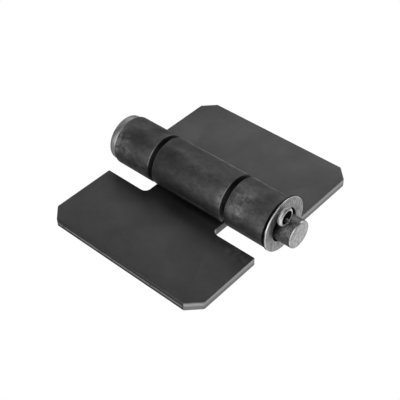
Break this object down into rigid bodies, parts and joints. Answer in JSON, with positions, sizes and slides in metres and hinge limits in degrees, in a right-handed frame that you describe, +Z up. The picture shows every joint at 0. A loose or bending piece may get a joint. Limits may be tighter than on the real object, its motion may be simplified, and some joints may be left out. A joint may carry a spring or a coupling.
{
  "type": "flat hinge",
  "caption": "Weld-on flat hinge: plain steel leaves with cut corners and rolled knuckles turn on a headed pin, kept in by a washer and a split pin.",
  "frame": {"origin": "on the ground under the middle of the hinge's overall box; the pin axis is 11 mm above it", "axes": "+X along the pin from its head to its tail, +Y from the front leaf to the back leaf, +Z up"},
  "size_m": [0.0932, 0.1, 0.0248],
  "materials": {
    "leaf_steel": "hot-rolled sheet with dark mill scale, bare grey sheared edges",
    "pin_steel": "turned bar with a dark scale, faced bright at the ends",
    "washer_steel": "stamped, plain light grey steel",
    "wire_steel": "bright half-round steel wire"
  },
  "bodies": {
    "back_leaf": {"back_leaf": "leaf_steel"},
    "front_leaf": {"front_leaf": "leaf_steel"},
    "pin": {"hinge_pin": "pin_steel", "split_pin": "wire_steel"},
    "washer": {"washer": "washer_steel"}
  },
  "joints": [
    {"name": "leaf_swing", "type": "hinge", "parent": "back_leaf", "child": "front_leaf", "pos_m": [-0.00285, 0, 0.011], "axis": [-1, 0, 0], "range_deg": [-105, 194]},
    {"name": "pin_spin", "type": "hinge", "parent": "back_leaf", "child": "pin", "pos_m": [-0.00285, 0, 0.011], "axis": [1, 0, 0], "continuous": true},
    {"name": "washer_spin", "type": "hinge", "parent": "back_leaf", "child": "washer", "pos_m": [0.03865, 0, 0.012], "axis": [1, 0, 0], "continuous": true}
  ]
}
